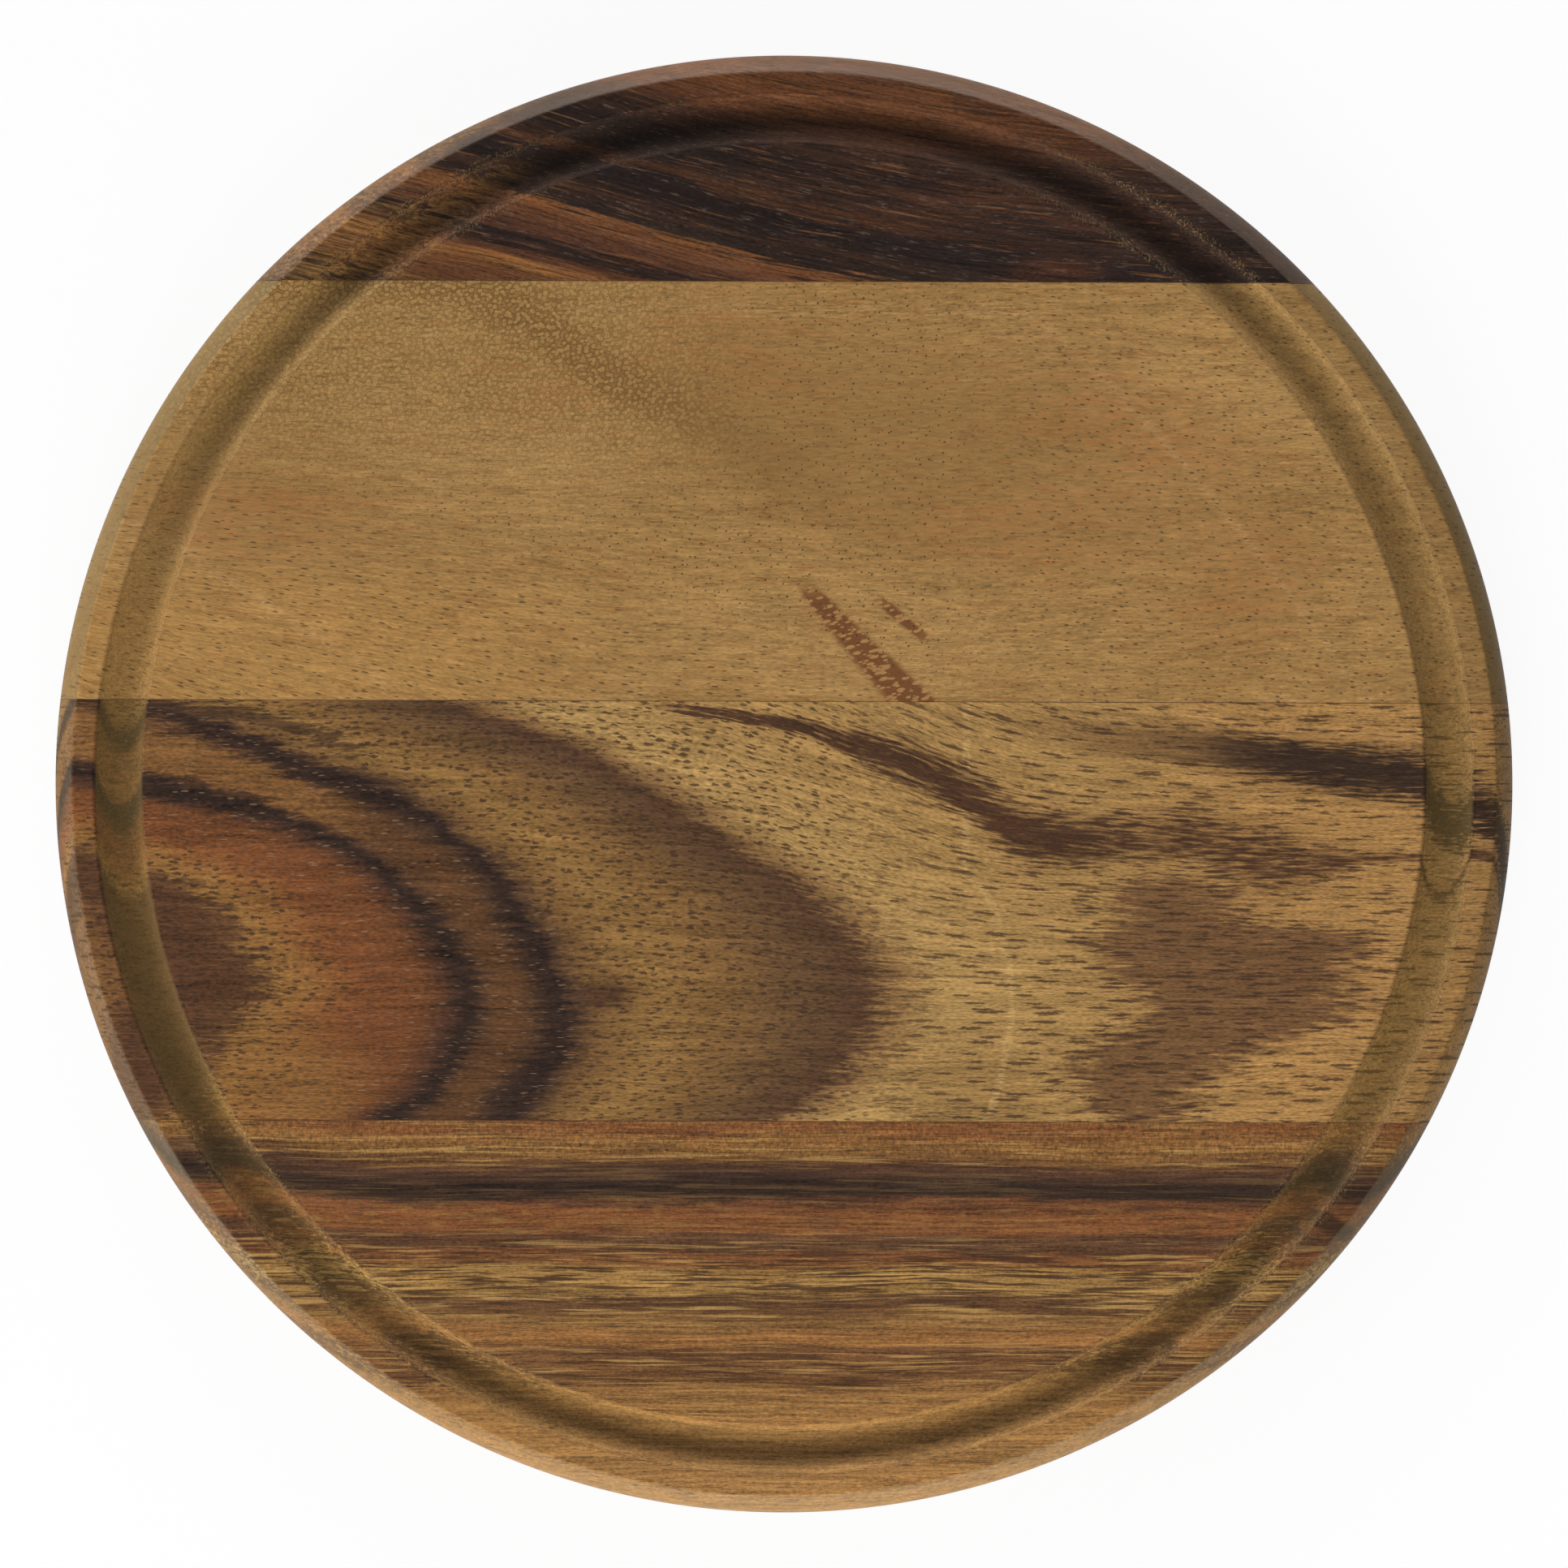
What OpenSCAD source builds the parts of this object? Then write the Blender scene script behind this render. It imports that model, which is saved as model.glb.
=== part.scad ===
// Round wooden pizza serving board.
// Four staves are glued edge to edge into a blank, the blank is turned to a disc with a
// half-round rim, and a juice groove is routed all round the top face.
// Frame: +Z up, X along the grain, origin at the middle of the underside. Millimetres.

/* [Staves] */
// Width of the dark stave at its widest, from its glue line to the back of the round
dark_stave_w = 49.9; // [30:0.1:90]
// Width of the pale stave, from glue line to glue line
pale_stave_w = 92; // [60:0.5:120]
// Width of the figured stave, from glue line to glue line
figured_stave_w = 92; // [60:0.5:120]
// Width of the striped stave at its widest, from its glue line to the front of the round
striped_stave_w = 86.1; // [30:0.1:120]
// Thickness of all staves, and so of the finished board
board_t = 15; // [11:0.5:25]
// Thickness of the cured glue between two staves
glue_t = 0.15; // [0.1:0.05:0.5]

/* [Rim] */
// How far the sharp edges of both faces lie in from the widest point of the rim
rim_inset = 4; // [2:0.1:5]
// Width of the flat ledge between the rim and the juice groove
ledge_w = 4.8; // [2:0.1:20]

/* [Juice groove] */
// Width of the groove where it meets the top face
groove_w = 10.7; // [8:0.1:16]
// Depth of the groove at its middle
groove_depth = 3; // [1:0.1:4]

/* [Hidden] */
$fn = 180;

// How far a cutting strip runs past the board
cut_over = 1;

// The staves lie side by side across the round, so their widths add up to its diameter
board_d = dark_stave_w + pale_stave_w + figured_stave_w + striped_stave_w;
board_r = board_d / 2;
face_r = board_r - rim_inset;

// The rim is one arc through both sharp edges and the widest point
rim_r = (pow(board_t / 2, 2) + pow(rim_inset, 2)) / (2 * rim_inset);

// The router bit's round nose leaves a groove of the given width and depth
groove_mid_r = face_r - ledge_w - groove_w / 2;
router_nose_r = (pow(groove_w / 2, 2) + pow(groove_depth, 2)) / (2 * groove_depth);

// The middle lines of the three glue joints, from the back of the board to the front
dark_pale_seam_y = board_r - dark_stave_w;
pale_figured_seam_y = dark_pale_seam_y - pale_stave_w;
figured_striped_seam_y = pale_figured_seam_y - figured_stave_w;

// Half of the turned board's section: the flat disc, and the arc of its rim
module board_section() {
    square([face_r, board_t]);
    intersection() {
        translate([board_r - rim_r, board_t / 2]) circle(r = rim_r);
        translate([face_r, 0]) square([rim_inset, board_t]);
    }
}

// The path of the router bit round the top face
module juice_groove() {
    rotate_extrude()
        translate([groove_mid_r, board_t - groove_depth + router_nose_r])
            circle(r = router_nose_r);
}

module turned_board() {
    difference() {
        rotate_extrude() board_section();
        juice_groove();
    }
}

// What the turned board holds between two lines that run along the grain
module strip_of_board(front_y, back_y) {
    intersection() {
        turned_board();
        translate([-board_r - cut_over, front_y, -cut_over])
            cube([board_d + 2 * cut_over, back_y - front_y, board_t + 2 * cut_over]);
    }
}

module glue_film(seam_y) {
    color("#4a2f1c") strip_of_board(seam_y - glue_t / 2, seam_y + glue_t / 2);
}

// The two outer staves reach to the back and to the front of the round
module dark_stave() {
    color("#3d2b22") strip_of_board(dark_pale_seam_y + glue_t / 2, board_r + cut_over);
}

module pale_stave() {
    color("#a58142")
        strip_of_board(pale_figured_seam_y + glue_t / 2, dark_pale_seam_y - glue_t / 2);
}

module figured_stave() {
    color("#8a683a")
        strip_of_board(figured_striped_seam_y + glue_t / 2, pale_figured_seam_y - glue_t / 2);
}

module striped_stave() {
    color("#75502c") strip_of_board(-board_r - cut_over, figured_striped_seam_y - glue_t / 2);
}

module dark_pale_glue_line() glue_film(dark_pale_seam_y);

module pale_figured_glue_line() glue_film(pale_figured_seam_y);

module figured_striped_glue_line() glue_film(figured_striped_seam_y);

dark_stave();
pale_stave();
figured_stave();
striped_stave();
dark_pale_glue_line();
pale_figured_glue_line();
figured_striped_glue_line();
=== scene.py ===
# %% [markdown]
# # A round pizza serving board
# The real board is four staves of oiled hardwood, glued edge to edge, turned to a disc and routed
# with a groove that catches the juice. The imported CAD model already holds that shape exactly, so it
# is loaded first and stays as a fixed frame. Everything made below takes its sizes from it.

# %% Load the board
import math

import bmesh
import bpy
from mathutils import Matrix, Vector


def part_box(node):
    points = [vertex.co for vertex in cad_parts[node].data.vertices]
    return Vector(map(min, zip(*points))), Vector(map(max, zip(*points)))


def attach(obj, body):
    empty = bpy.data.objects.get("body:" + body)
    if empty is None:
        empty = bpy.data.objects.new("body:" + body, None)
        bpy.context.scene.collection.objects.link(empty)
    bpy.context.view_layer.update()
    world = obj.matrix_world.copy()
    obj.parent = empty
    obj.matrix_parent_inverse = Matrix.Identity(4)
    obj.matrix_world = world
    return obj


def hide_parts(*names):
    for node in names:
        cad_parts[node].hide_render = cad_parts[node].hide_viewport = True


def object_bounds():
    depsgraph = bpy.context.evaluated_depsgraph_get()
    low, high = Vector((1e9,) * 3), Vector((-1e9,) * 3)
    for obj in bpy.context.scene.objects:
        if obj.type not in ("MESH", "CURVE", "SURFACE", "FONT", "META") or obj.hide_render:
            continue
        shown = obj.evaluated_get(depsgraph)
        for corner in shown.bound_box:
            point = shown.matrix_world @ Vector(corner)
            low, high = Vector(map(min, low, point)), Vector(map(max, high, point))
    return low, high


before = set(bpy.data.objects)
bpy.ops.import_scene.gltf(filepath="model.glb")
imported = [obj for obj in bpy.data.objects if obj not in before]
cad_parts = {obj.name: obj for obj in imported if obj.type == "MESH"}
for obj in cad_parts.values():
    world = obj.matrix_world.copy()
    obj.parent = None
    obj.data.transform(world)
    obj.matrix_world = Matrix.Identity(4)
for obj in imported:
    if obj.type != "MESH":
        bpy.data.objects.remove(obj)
cad_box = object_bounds()
MM = 0.001
STAVES = ("dark_stave", "pale_stave", "figured_stave", "striped_stave")
for name in STAVES:
    front, back = (round(corner.y / MM, 1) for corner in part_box(name))
    print(name, "lies between", front, "and", back, "mm across the grain")

# %% [markdown]
# ## The turned section
# One pass of the lathe and one of the router shaped all four staves of the real board at once, so
# rim and groove cross the glue lines without a step. A Bevel modifier on the CAD pieces would also
# break the edges at the glue lines. So the section is drawn once, as a line from the top face out
# to the rim and back under the board, and spun. Sanding took a third of a millimetre off every
# sharp edge, and that narrow strip is what catches the light, so the corners of the line are eased.

# %% Sizes of the section
board_r = min(cad_box[1].x, -cad_box[0].x, cad_box[1].y, -cad_box[0].y)
board_t = cad_box[1].z - cad_box[0].z
rim_inset = 4 * MM
ledge_w = 4.8 * MM
groove_w = 10.7 * MM
groove_depth = 3 * MM
edge_ease = 0.35 * MM

face_r = board_r - rim_inset
groove_out_r = face_r - ledge_w
groove_mid_r = groove_out_r - groove_w / 2
groove_in_r = groove_out_r - groove_w
nose_r = ((groove_w / 2) ** 2 + groove_depth**2) / (2 * groove_depth)
print("round of", round(2 * board_r / MM, 1), "mm, groove nose radius", round(nose_r / MM, 2), "mm")

# %% Arcs and eased corners
SHARP_TURN = math.radians(20)


def arc(centre, radius, start, end, steps):
    """Points (r, z) along an arc, both ends included."""
    turns = [start + (end - start) * step / steps for step in range(steps + 1)]
    return [Vector((centre[0] + radius * math.cos(a), centre[1] + radius * math.sin(a))) for a in turns]


def eased(line, size, steps=3):
    """The line with each sharp corner rounded off, as sandpaper leaves it."""
    smooth_line = [line[0]]
    for before, corner, after in zip(line, line[1:], line[2:]):
        if (corner - before).angle(after - corner) < SHARP_TURN:
            smooth_line.append(corner)
            continue
        start = corner + (before - corner).normalized() * size
        end = corner + (after - corner).normalized() * size
        for step in range(steps + 1):
            way = step / steps
            smooth_line.append(start.lerp(corner, way).lerp(corner.lerp(end, way), way))
    return smooth_line + [line[-1]]


print("sharp edges are eased by", round(edge_ease / MM, 2), "mm")

# %% The section at one angle
RIM_STEPS = 16
GROOVE_STEPS = 24
# Waves round the board, and how far each of them moves the rim's top edge in and out
HAND_SANDING = ((3, 0.10 * MM), (7, 0.08 * MM), (16, 0.05 * MM))


def rim_arc(arris_r, from_top):
    """The rim from the sharp edge of one face to the widest point."""
    inset = board_r - arris_r
    radius = ((board_t / 2) ** 2 + inset**2) / (2 * inset)
    rise = math.asin(board_t / 2 / radius) * (1 if from_top else -1)
    line = arc((board_r - radius, board_t / 2), radius, rise, 0, RIM_STEPS)
    return line if from_top else line[::-1]


def section(angle):
    """The board's outline at an angle, from its top face to its underside."""
    wander = sum(size * math.sin(waves * angle + waves) for waves, size in HAND_SANDING)
    half_turn = math.asin(groove_w / 2 / nose_r)
    nose_centre = (groove_mid_r, board_t - groove_depth + nose_r)
    down = -math.pi / 2
    clear = 2 * edge_ease
    line = [Vector((groove_in_r - clear, board_t))]
    line += arc(nose_centre, nose_r, down - half_turn, down + half_turn, GROOVE_STEPS)
    line += [Vector((groove_out_r + clear, board_t)), Vector((face_r + wander - clear, board_t))]
    line += rim_arc(face_r + wander, True) + rim_arc(face_r, False)[1:]
    line += [Vector((face_r - clear, 0))]
    return eased(line, edge_ease)


print("the section has", len(section(0)), "points")

# %% [markdown]
# ## Sawing the round into staves
# A knife cut keeps both sides of a joint exactly alike, so the whole round is spun once and a copy
# is bisected along the glue lines for each stave, as if the finished board were sawn apart again.
# The cut faces are closed, so that each stave is a solid piece.

# %% Spin the section
TURN_STEPS = 720


def turned_round():
    """A mesh of the whole board, before it is cut."""
    shape = bmesh.new()
    columns = []
    for step in range(TURN_STEPS):
        angle = 2 * math.pi * step / TURN_STEPS
        across, along = math.cos(angle), math.sin(angle)
        columns.append([shape.verts.new((r * across, r * along, z)) for r, z in section(angle)])
    for here, there in zip(columns, columns[1:] + columns[:1]):
        for row in range(len(here) - 1):
            shape.faces.new((here[row], here[row + 1], there[row + 1], there[row]))
    shape.faces.new([column[0] for column in columns])
    shape.faces.new([column[-1] for column in reversed(columns)])
    return shape


whole_round = turned_round()
print("the round has", len(whole_round.faces), "faces")

# %% Cut the staves
FLAT_TURN = math.radians(30)


def sawn_stave(node):
    """A visual stave that replaces its CAD node."""
    low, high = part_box(node)
    shape = whole_round.copy()
    for seam_y, outward in ((low.y, -1), (high.y, 1)):
        if abs(seam_y) > face_r:
            continue
        everything = shape.verts[:] + shape.edges[:] + shape.faces[:]
        cut = bmesh.ops.bisect_plane(
            shape, geom=everything, plane_co=(0, seam_y, 0), plane_no=(0, outward, 0), clear_outer=True
        )
        outline = [part for part in cut["geom_cut"] if isinstance(part, bmesh.types.BMEdge)]
        bmesh.ops.edgeloop_fill(shape, edges=outline)
    bmesh.ops.recalc_face_normals(shape, faces=shape.faces[:])
    mesh = bpy.data.meshes.new("sawn_" + node)
    shape.to_mesh(mesh)
    shape.free()
    mesh.shade_smooth()
    mesh.set_sharp_from_angle(angle=FLAT_TURN)
    piece = bpy.data.objects.new("sawn_" + node, mesh)
    bpy.context.collection.objects.link(piece)
    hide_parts(node)
    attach(piece, "root")
    return piece


staves = {node: sawn_stave(node) for node in STAVES}
whole_round.free()
for node, piece in staves.items():
    print(node, "is drawn with", len(piece.data.polygons), "faces")

# %% [markdown]
# ## A notation for wood
# A photo of wood pasted on the board would stop at its surface. Real grain runs through the stave,
# so that the groove and the rim cut it at a slant. Each stave therefore gets a material that works
# out its colour at any point in the solid. That takes many shader nodes, so they are written as
# sums: a Field stands for one node's output, and adding or multiplying Fields adds Math nodes.

# %% Fields
class Field:
    """A number or colour that changes from place to place in the wood."""

    def __init__(self, socket):
        self.socket = socket

    def __add__(self, other):
        return arithmetic("ADD", self, other)

    def __sub__(self, other):
        return arithmetic("SUBTRACT", self, other)

    def __rsub__(self, other):
        return arithmetic("SUBTRACT", other, self)

    def __mul__(self, other):
        return arithmetic("MULTIPLY", self, other)

    def __truediv__(self, other):
        return arithmetic("DIVIDE", self, other)

    __radd__ = __add__
    __rmul__ = __mul__


print("Fields can be added, subtracted, multiplied and divided")

# %% Nodes
def linear(tint):
    """A colour such as #8a683a, as seen on a screen, in the linear values that shaders take."""
    seen = [int(tint[place : place + 2], 16) / 255 for place in (1, 3, 5)]
    return [((part + 0.055) / 1.055) ** 2.4 if part > 0.04045 else part / 12.92 for part in seen] + [1]


def add_node(tree, kind, inputs, **settings):
    """A shader node whose inputs are joined to Fields or set to values."""
    node = tree.nodes.new("ShaderNode" + kind)
    for name, value in settings.items():
        setattr(node, name, value)
    for key, value in inputs.items():
        if isinstance(value, Field):
            tree.links.new(value.socket, node.inputs[key])
        else:
            node.inputs[key].default_value = linear(value) if isinstance(value, str) else value
    return node


def tree_of(*values):
    """The node tree that holds the first Field among some values."""
    return next(value.socket.id_data for value in values if isinstance(value, Field))


def arithmetic(operation, *values):
    """One Math node."""
    node = add_node(tree_of(*values), "Math", dict(enumerate(values)), operation=operation)
    return Field(node.outputs[0])


print("a Field adds its nodes to the tree that it came from")

# %% Steps and curves
def smooth(field, start, end):
    """0 at start and 1 at end, with a soft change between them. Start may be the larger one."""
    inputs = {"Value": field, "From Min": start, "From Max": end}
    node = add_node(tree_of(field, start, end), "MapRange", inputs, interpolation_type="SMOOTHSTEP")
    return Field(node.outputs[0])


def share(field, start, end):
    """0 at start and 1 at end, in a straight line between them."""
    inputs = {"Value": field, "From Min": start, "From Max": end}
    return Field(add_node(tree_of(field, start, end), "MapRange", inputs).outputs[0])


def curve(field, points):
    """A smooth curve through (value, result) points, read at a Field."""
    results = [result for value, result in points]
    first, last = points[0][0], points[-1][0]
    low, high = min(results), max(results)
    node = add_node(tree_of(field), "FloatCurve", {"Value": share(field, first, last)})
    line = node.mapping.curves[0]
    line.points[0].location = (0, (results[0] - low) / (high - low))
    line.points[1].location = (1, (results[-1] - low) / (high - low))
    for value, result in points[1:-1]:
        line.points.new((value - first) / (last - first), (result - low) / (high - low))
    node.mapping.update()
    return Field(node.outputs[0]) * (high - low) + low


print("curves are given by points in millimetres")

# %% Colours
def ramp(field, stops):
    """A colour read along a Field, from (value, colour) stops in rising order."""
    first, last = stops[0][0], stops[-1][0]
    node = add_node(tree_of(field), "ValToRGB", {"Fac": share(field, first, last)})
    band = node.color_ramp.elements
    band[0].color, band[1].color = linear(stops[0][1]), linear(stops[-1][1])
    for value, tint in stops[1:-1]:
        band.new((value - first) / (last - first)).color = linear(tint)
    return Field(node.outputs[0])


def blend(under, over, cover):
    """One colour laid over another, as far as cover goes from 0 to 1."""
    node = add_node(tree_of(under, over, cover), "Mix", {0: cover, 6: under, 7: over}, data_type="RGBA")
    return Field(node.outputs[2])


def tone(colour, level):
    """A colour made darker or lighter by a factor."""
    node = add_node(tree_of(colour, level), "VectorMath", {0: colour, "Scale": level}, operation="SCALE")
    return Field(node.outputs[0])


print("ramps are read along any Field, and tones scale a colour")

# %% Noise and vessels
VESSEL_CORE = 0.65
LINE_SOFTNESS = 0.4


def stretched(spot, size, shift, tilt=0.0):
    """The place in units of that many mm along X, Y and Z, on a grain that rises by tilt degrees."""
    turn = (0, 0, math.radians(tilt))
    inputs = {"Vector": spot, "Rotation": turn, "Scale": size, "Location": (shift, shift, shift)}
    return Field(add_node(tree_of(spot), "Mapping", inputs, vector_type="TEXTURE").outputs[0])


def noise(spot, size, detail=2.0, rough=0.5, shift=0.0):
    """Cloudy variation, mostly from -1 to 1, with clouds of that size in mm along X, Y and Z."""
    inputs = {"Vector": stretched(spot, size, shift), "Scale": 1.0, "Detail": detail, "Roughness": rough}
    return Field(add_node(tree_of(spot), "TexNoise", inputs).outputs[0]) * 4 - 2


def cells(spot, size, shift=0.0, tilt=0.0, upright=False):
    """How far the nearest vessel is, in vessel spacings, and a number by which the vessels differ."""
    inputs = {"Vector": stretched(spot, size, shift, tilt), "Scale": 1.0}
    dimensions = "2D" if upright else "3D"
    node = add_node(tree_of(spot), "TexVoronoi", inputs, voronoi_dimensions=dimensions)
    return Field(node.outputs["Distance"]), Field(node.outputs["Color"])


def vessels(spot, size, fullness, shift=0.0, tilt=0.0, upright=False):
    """1 inside the tubes that carried sap, which lie along the grain or stand upright, 0 between them."""
    distance, kind = cells(spot, size, shift, tilt, upright)
    widest = kind * fullness + fullness / 2
    return smooth(distance, widest, widest * VESSEL_CORE)


def lines(spot, size, above, shift=0.0):
    """1 along thin lens-shaped lines in the grain, fewer the higher above is."""
    return smooth(noise(spot, size, rough=0.6, shift=shift), above, above + LINE_SOFTNESS)


print("sizes of clouds and vessels are in millimetres")

# %% Patches and streaks
ALL_DEPTHS = 1e6


def patch(spot, centre, half, tilt=0.0, soft=0.5):
    """1 inside an ellipse on the face and 0 outside it, with a soft edge."""
    turn = (0, 0, math.radians(tilt))
    size = (*half, ALL_DEPTHS)
    inputs = {"Vector": spot, "Location": (*centre, 0), "Rotation": turn, "Scale": size}
    place = add_node(tree_of(spot), "Mapping", inputs, vector_type="TEXTURE")
    reach = add_node(tree_of(spot), "VectorMath", {0: Field(place.outputs[0])}, operation="LENGTH")
    return smooth(Field(reach.outputs["Value"]), 1 + soft, 1 - soft)


def streak(along, across, points, half_w, soft=0.5):
    """1 along a curve over the face, fading out half_w to either side of it."""
    aside = arithmetic("ABSOLUTE", across - curve(along, points))
    return smooth(aside, half_w * (1 + soft), half_w * (1 - soft))


print("patches and streaks go through the whole thickness of a stave")

# %% [markdown]
# ## What all staves share
# Every stave is sanded and oiled the same way, so one class starts a wood material and one function
# finishes it. The class keeps the place in millimetres and tells the parts of the turned board apart: the
# groove, its two edges, the rim, and the end grain at the right, which gets painted shade. It works them
# out from the radii of the section, so that a finish can't drift off the shape.

# %% The start of a wood material
# Where painted shade darkens the right end, from x in mm
RIGHT_SHADE_SPAN = (40, 140)
TORN_SLANT = (0.28, 0.45)
TORN_W = 1.7


def spot_of(x, y, z):
    """Three Fields as one place."""
    return Field(add_node(tree_of(x, y, z), "CombineXYZ", {0: x, 1: y, 2: z}).outputs[0])


class Wood:
    """A wood material while its grain is worked out."""

    def __init__(self, name):
        self.material = bpy.data.materials.new(name)
        self.material.use_nodes = True
        tree = self.material.node_tree
        where = Field(add_node(tree, "TexCoord", {}).outputs["Object"])
        in_mm = add_node(tree, "VectorMath", {0: where, "Scale": 1 / MM}, operation="SCALE")
        axes = add_node(tree, "SeparateXYZ", {0: Field(in_mm.outputs[0])})
        self.x, self.y, self.z = (Field(axis) for axis in axes.outputs)
        self.radius = arithmetic("POWER", self.x * self.x + self.y * self.y, 0.5)
        self.depth = board_t / MM - self.z
        self.face = Field(in_mm.outputs[0])

    def in_groove(self):
        """1 in the routed groove, 0 on the faces and the rim."""
        inside = smooth(self.radius, groove_out_r / MM + 0.4, groove_out_r / MM - 0.4)
        shallow = smooth(self.depth, groove_depth / MM + 1, groove_depth / MM)
        return smooth(self.depth, 0, 0.6) * inside * shallow

    def on_rim(self):
        """1 on the turned rim, 0 on both faces."""
        return smooth(self.radius, face_r / MM - 0.2, face_r / MM + 0.4)

    def painted_shade_at_right(self):
        """1 outside the groove at the right end, where painted shade darkens the wood, 0 elsewhere."""
        return smooth(self.radius, groove_mid_r / MM, groove_out_r / MM) * smooth(self.x, *RIGHT_SHADE_SPAN)

    def by_edges(self, width):
        """1 along both edges of the groove, fading out over a width to either side."""
        edges = (groove_in_r / MM, groove_out_r / MM)
        inner, outer = (arithmetic("ABSOLUTE", self.radius - edge) for edge in edges)
        return smooth(arithmetic("MINIMUM", inner, outer), width, width / 3)

    def torn_fibres(self):
        """1 on the short fibres that the cutter tore from the groove's edges where it ran at a slant."""
        slant = arithmetic("ABSOLUTE", self.x * self.y) / (self.radius * self.radius)
        ticks = noise(self.face, (0.4, 0.6, 0.6), shift=40)
        return smooth(ticks, 0, 0.9) * smooth(slant, *TORN_SLANT) * self.by_edges(TORN_W)


def fibres(grain, length=14):
    """Fine and broad streaks along the grain, mostly from -1 to 1."""
    fine = noise(grain, (length, 0.6, 0.6), rough=0.65)
    broad = noise(grain, (length * 4, 2.6, 2.6), shift=20)
    grit = noise(grain, (1.2, 0.3, 0.3), detail=1.0, shift=33)
    return fine * 0.6 + broad * 0.35 + grit * 0.6


print("a Wood tells the groove, its edges, the rim and the right end apart")

# %% [markdown]
# ## The oil finish
# Oil leaves a satin skin on the sanded faces. Sandpaper doesn't reach well into the groove, so that
# drinks more oil and turns olive and matt, and its tone is made darker still by painted shade in the
# hollow. Its edges get a thin darker line. Where the cutter ran at a slant to the grain it left short
# torn fibres. The rim gets a painted tone for its light: painted shade on the pale and figured staves, a
# painted sheen on the dark and striped ones. The right end outside the groove is darkened by painted
# shade. All this is laid over the colour of a wood, whichever it is, and the fibres and open vessels
# become a bump of a tenth of a millimetre.

# %% The finish of a wood material
# The groove's tone: partly the olive of its own oiled wood, partly painted shade in the hollow
GROOVE_OLIVE_AND_SHADE = "#67542a"
# Painted light on the rim: shade for the pale and figured staves, a lighter sheen for the dark one, a
# grey sheen for the striped one
RIM_PAINTED_SHADE = "#63532f"
DARK_RIM_PAINTED_SHEEN = "#7d6650"
GREY_RIM_PAINTED_SHEEN = "#675b41"
TORN = "#94794a"
SHEEN = 0.3
SATIN = 0.44
MATT = 0.5
GROOVE_MATT = 0.8
MATT_EDGE_W = 0.9
EDGE_LINE_W = 0.6
EDGE_SHADE = 0.2
# How much painted shade darkens the right end
RIGHT_PAINTED_SHADE = 0.2
GROOVE_FUZZ = 0.22
BUMP_HEIGHT = 0.1 * MM


def oiled(wood, colour, fibre, pores, groove=GROOVE_OLIVE_AND_SHADE, groove_and_shade_share=0.5, rim=0.3, rim_painted_tone=RIM_PAINTED_SHADE):
    """Joins the colour, the satin gloss and the feel of the grain to the shader."""
    tree = wood.material.node_tree
    routed = wood.in_groove()
    # Painted shade in the groove, mixed with its own olive tone
    colour = blend(colour, groove, routed * groove_and_shade_share)
    # The rim gets the painted tone for its light that each stave passes in
    colour = blend(colour, rim_painted_tone, wood.on_rim() * rim)
    # Painted shade at the right end, and a thin darker line along both edges of the groove
    painted_shade_and_edge_line = wood.painted_shade_at_right() * RIGHT_PAINTED_SHADE + wood.by_edges(EDGE_LINE_W) * EDGE_SHADE
    colour = tone(colour, 1 - painted_shade_and_edge_line)
    fuzz = noise(wood.face, (0.7, 0.5, 0.5), rough=0.6)
    colour = tone(colour, 1 + routed * fuzz * GROOVE_FUZZ)
    colour = blend(colour, TORN, wood.torn_fibres() * 0.4)
    matt = arithmetic("MAXIMUM", routed * GROOVE_MATT, wood.by_edges(MATT_EDGE_W))
    feel = fibre * 0.25 - pores
    bump = add_node(tree, "Bump", {"Height": feel, "Strength": 0.4, "Distance": BUMP_HEIGHT})
    shader = tree.nodes["Principled BSDF"]
    tree.links.new(colour.socket, shader.inputs["Base Color"])
    shader.inputs["Specular IOR Level"].default_value = SHEEN
    roughness = SATIN + fibre * 0.05 + pores * 0.2 + matt * MATT
    tree.links.new(arithmetic("MINIMUM", roughness, 1).socket, shader.inputs["Roughness"])
    tree.links.new(bump.outputs[0], shader.inputs["Normal"])
    print(wood.material.name, "takes", len(tree.nodes), "nodes")
    return wood.material


print("oiled faces have a roughness of", SATIN, "and the groove", round(SATIN + GROOVE_MATT * MATT, 2))

# %% [markdown]
# ## The dark stave
# The back stave is near-black heartwood. Red-brown and orange growth layers cross it as streaks that
# fall towards the right and level out there. All of them follow one curve, so the height above that
# curve is worked out first, and the layers become one ramp of colours over it.

# %% Dark heartwood
STREAK_FALL = ((-160, 25), (-60, 0), (20, -20), (50, -24.5), (160, -30))
DARK_LAYERS = (
    (94, "#33241b"), (103, "#3a291d"), (106, "#53331d"), (110, "#623c22"), (113.5, "#6b4324"),
    (114.5, "#8a5c2c"), (115.3, "#694125"), (117.5, "#4c2e1d"), (118.8, "#281c17"),
    (120.4, "#261b17"), (122, "#4a2d1f"), (126, "#5c3822"), (128.3, "#6d4325"), (129, "#7a4d28"),
    (130, "#31221a"), (132, "#2a1d17"), (134.5, "#3a261b"), (136.5, "#231916"), (141.4, "#221815"),
    (142.4, "#442a1a"), (143.6, "#482c1a"), (145, "#2d1d16"), (147, "#241a16"), (153, "#231814"),
    (158, "#3a2519"), (162, "#56331c"), (168, "#613a1f"), (176, "#52321e"),
)


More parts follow.
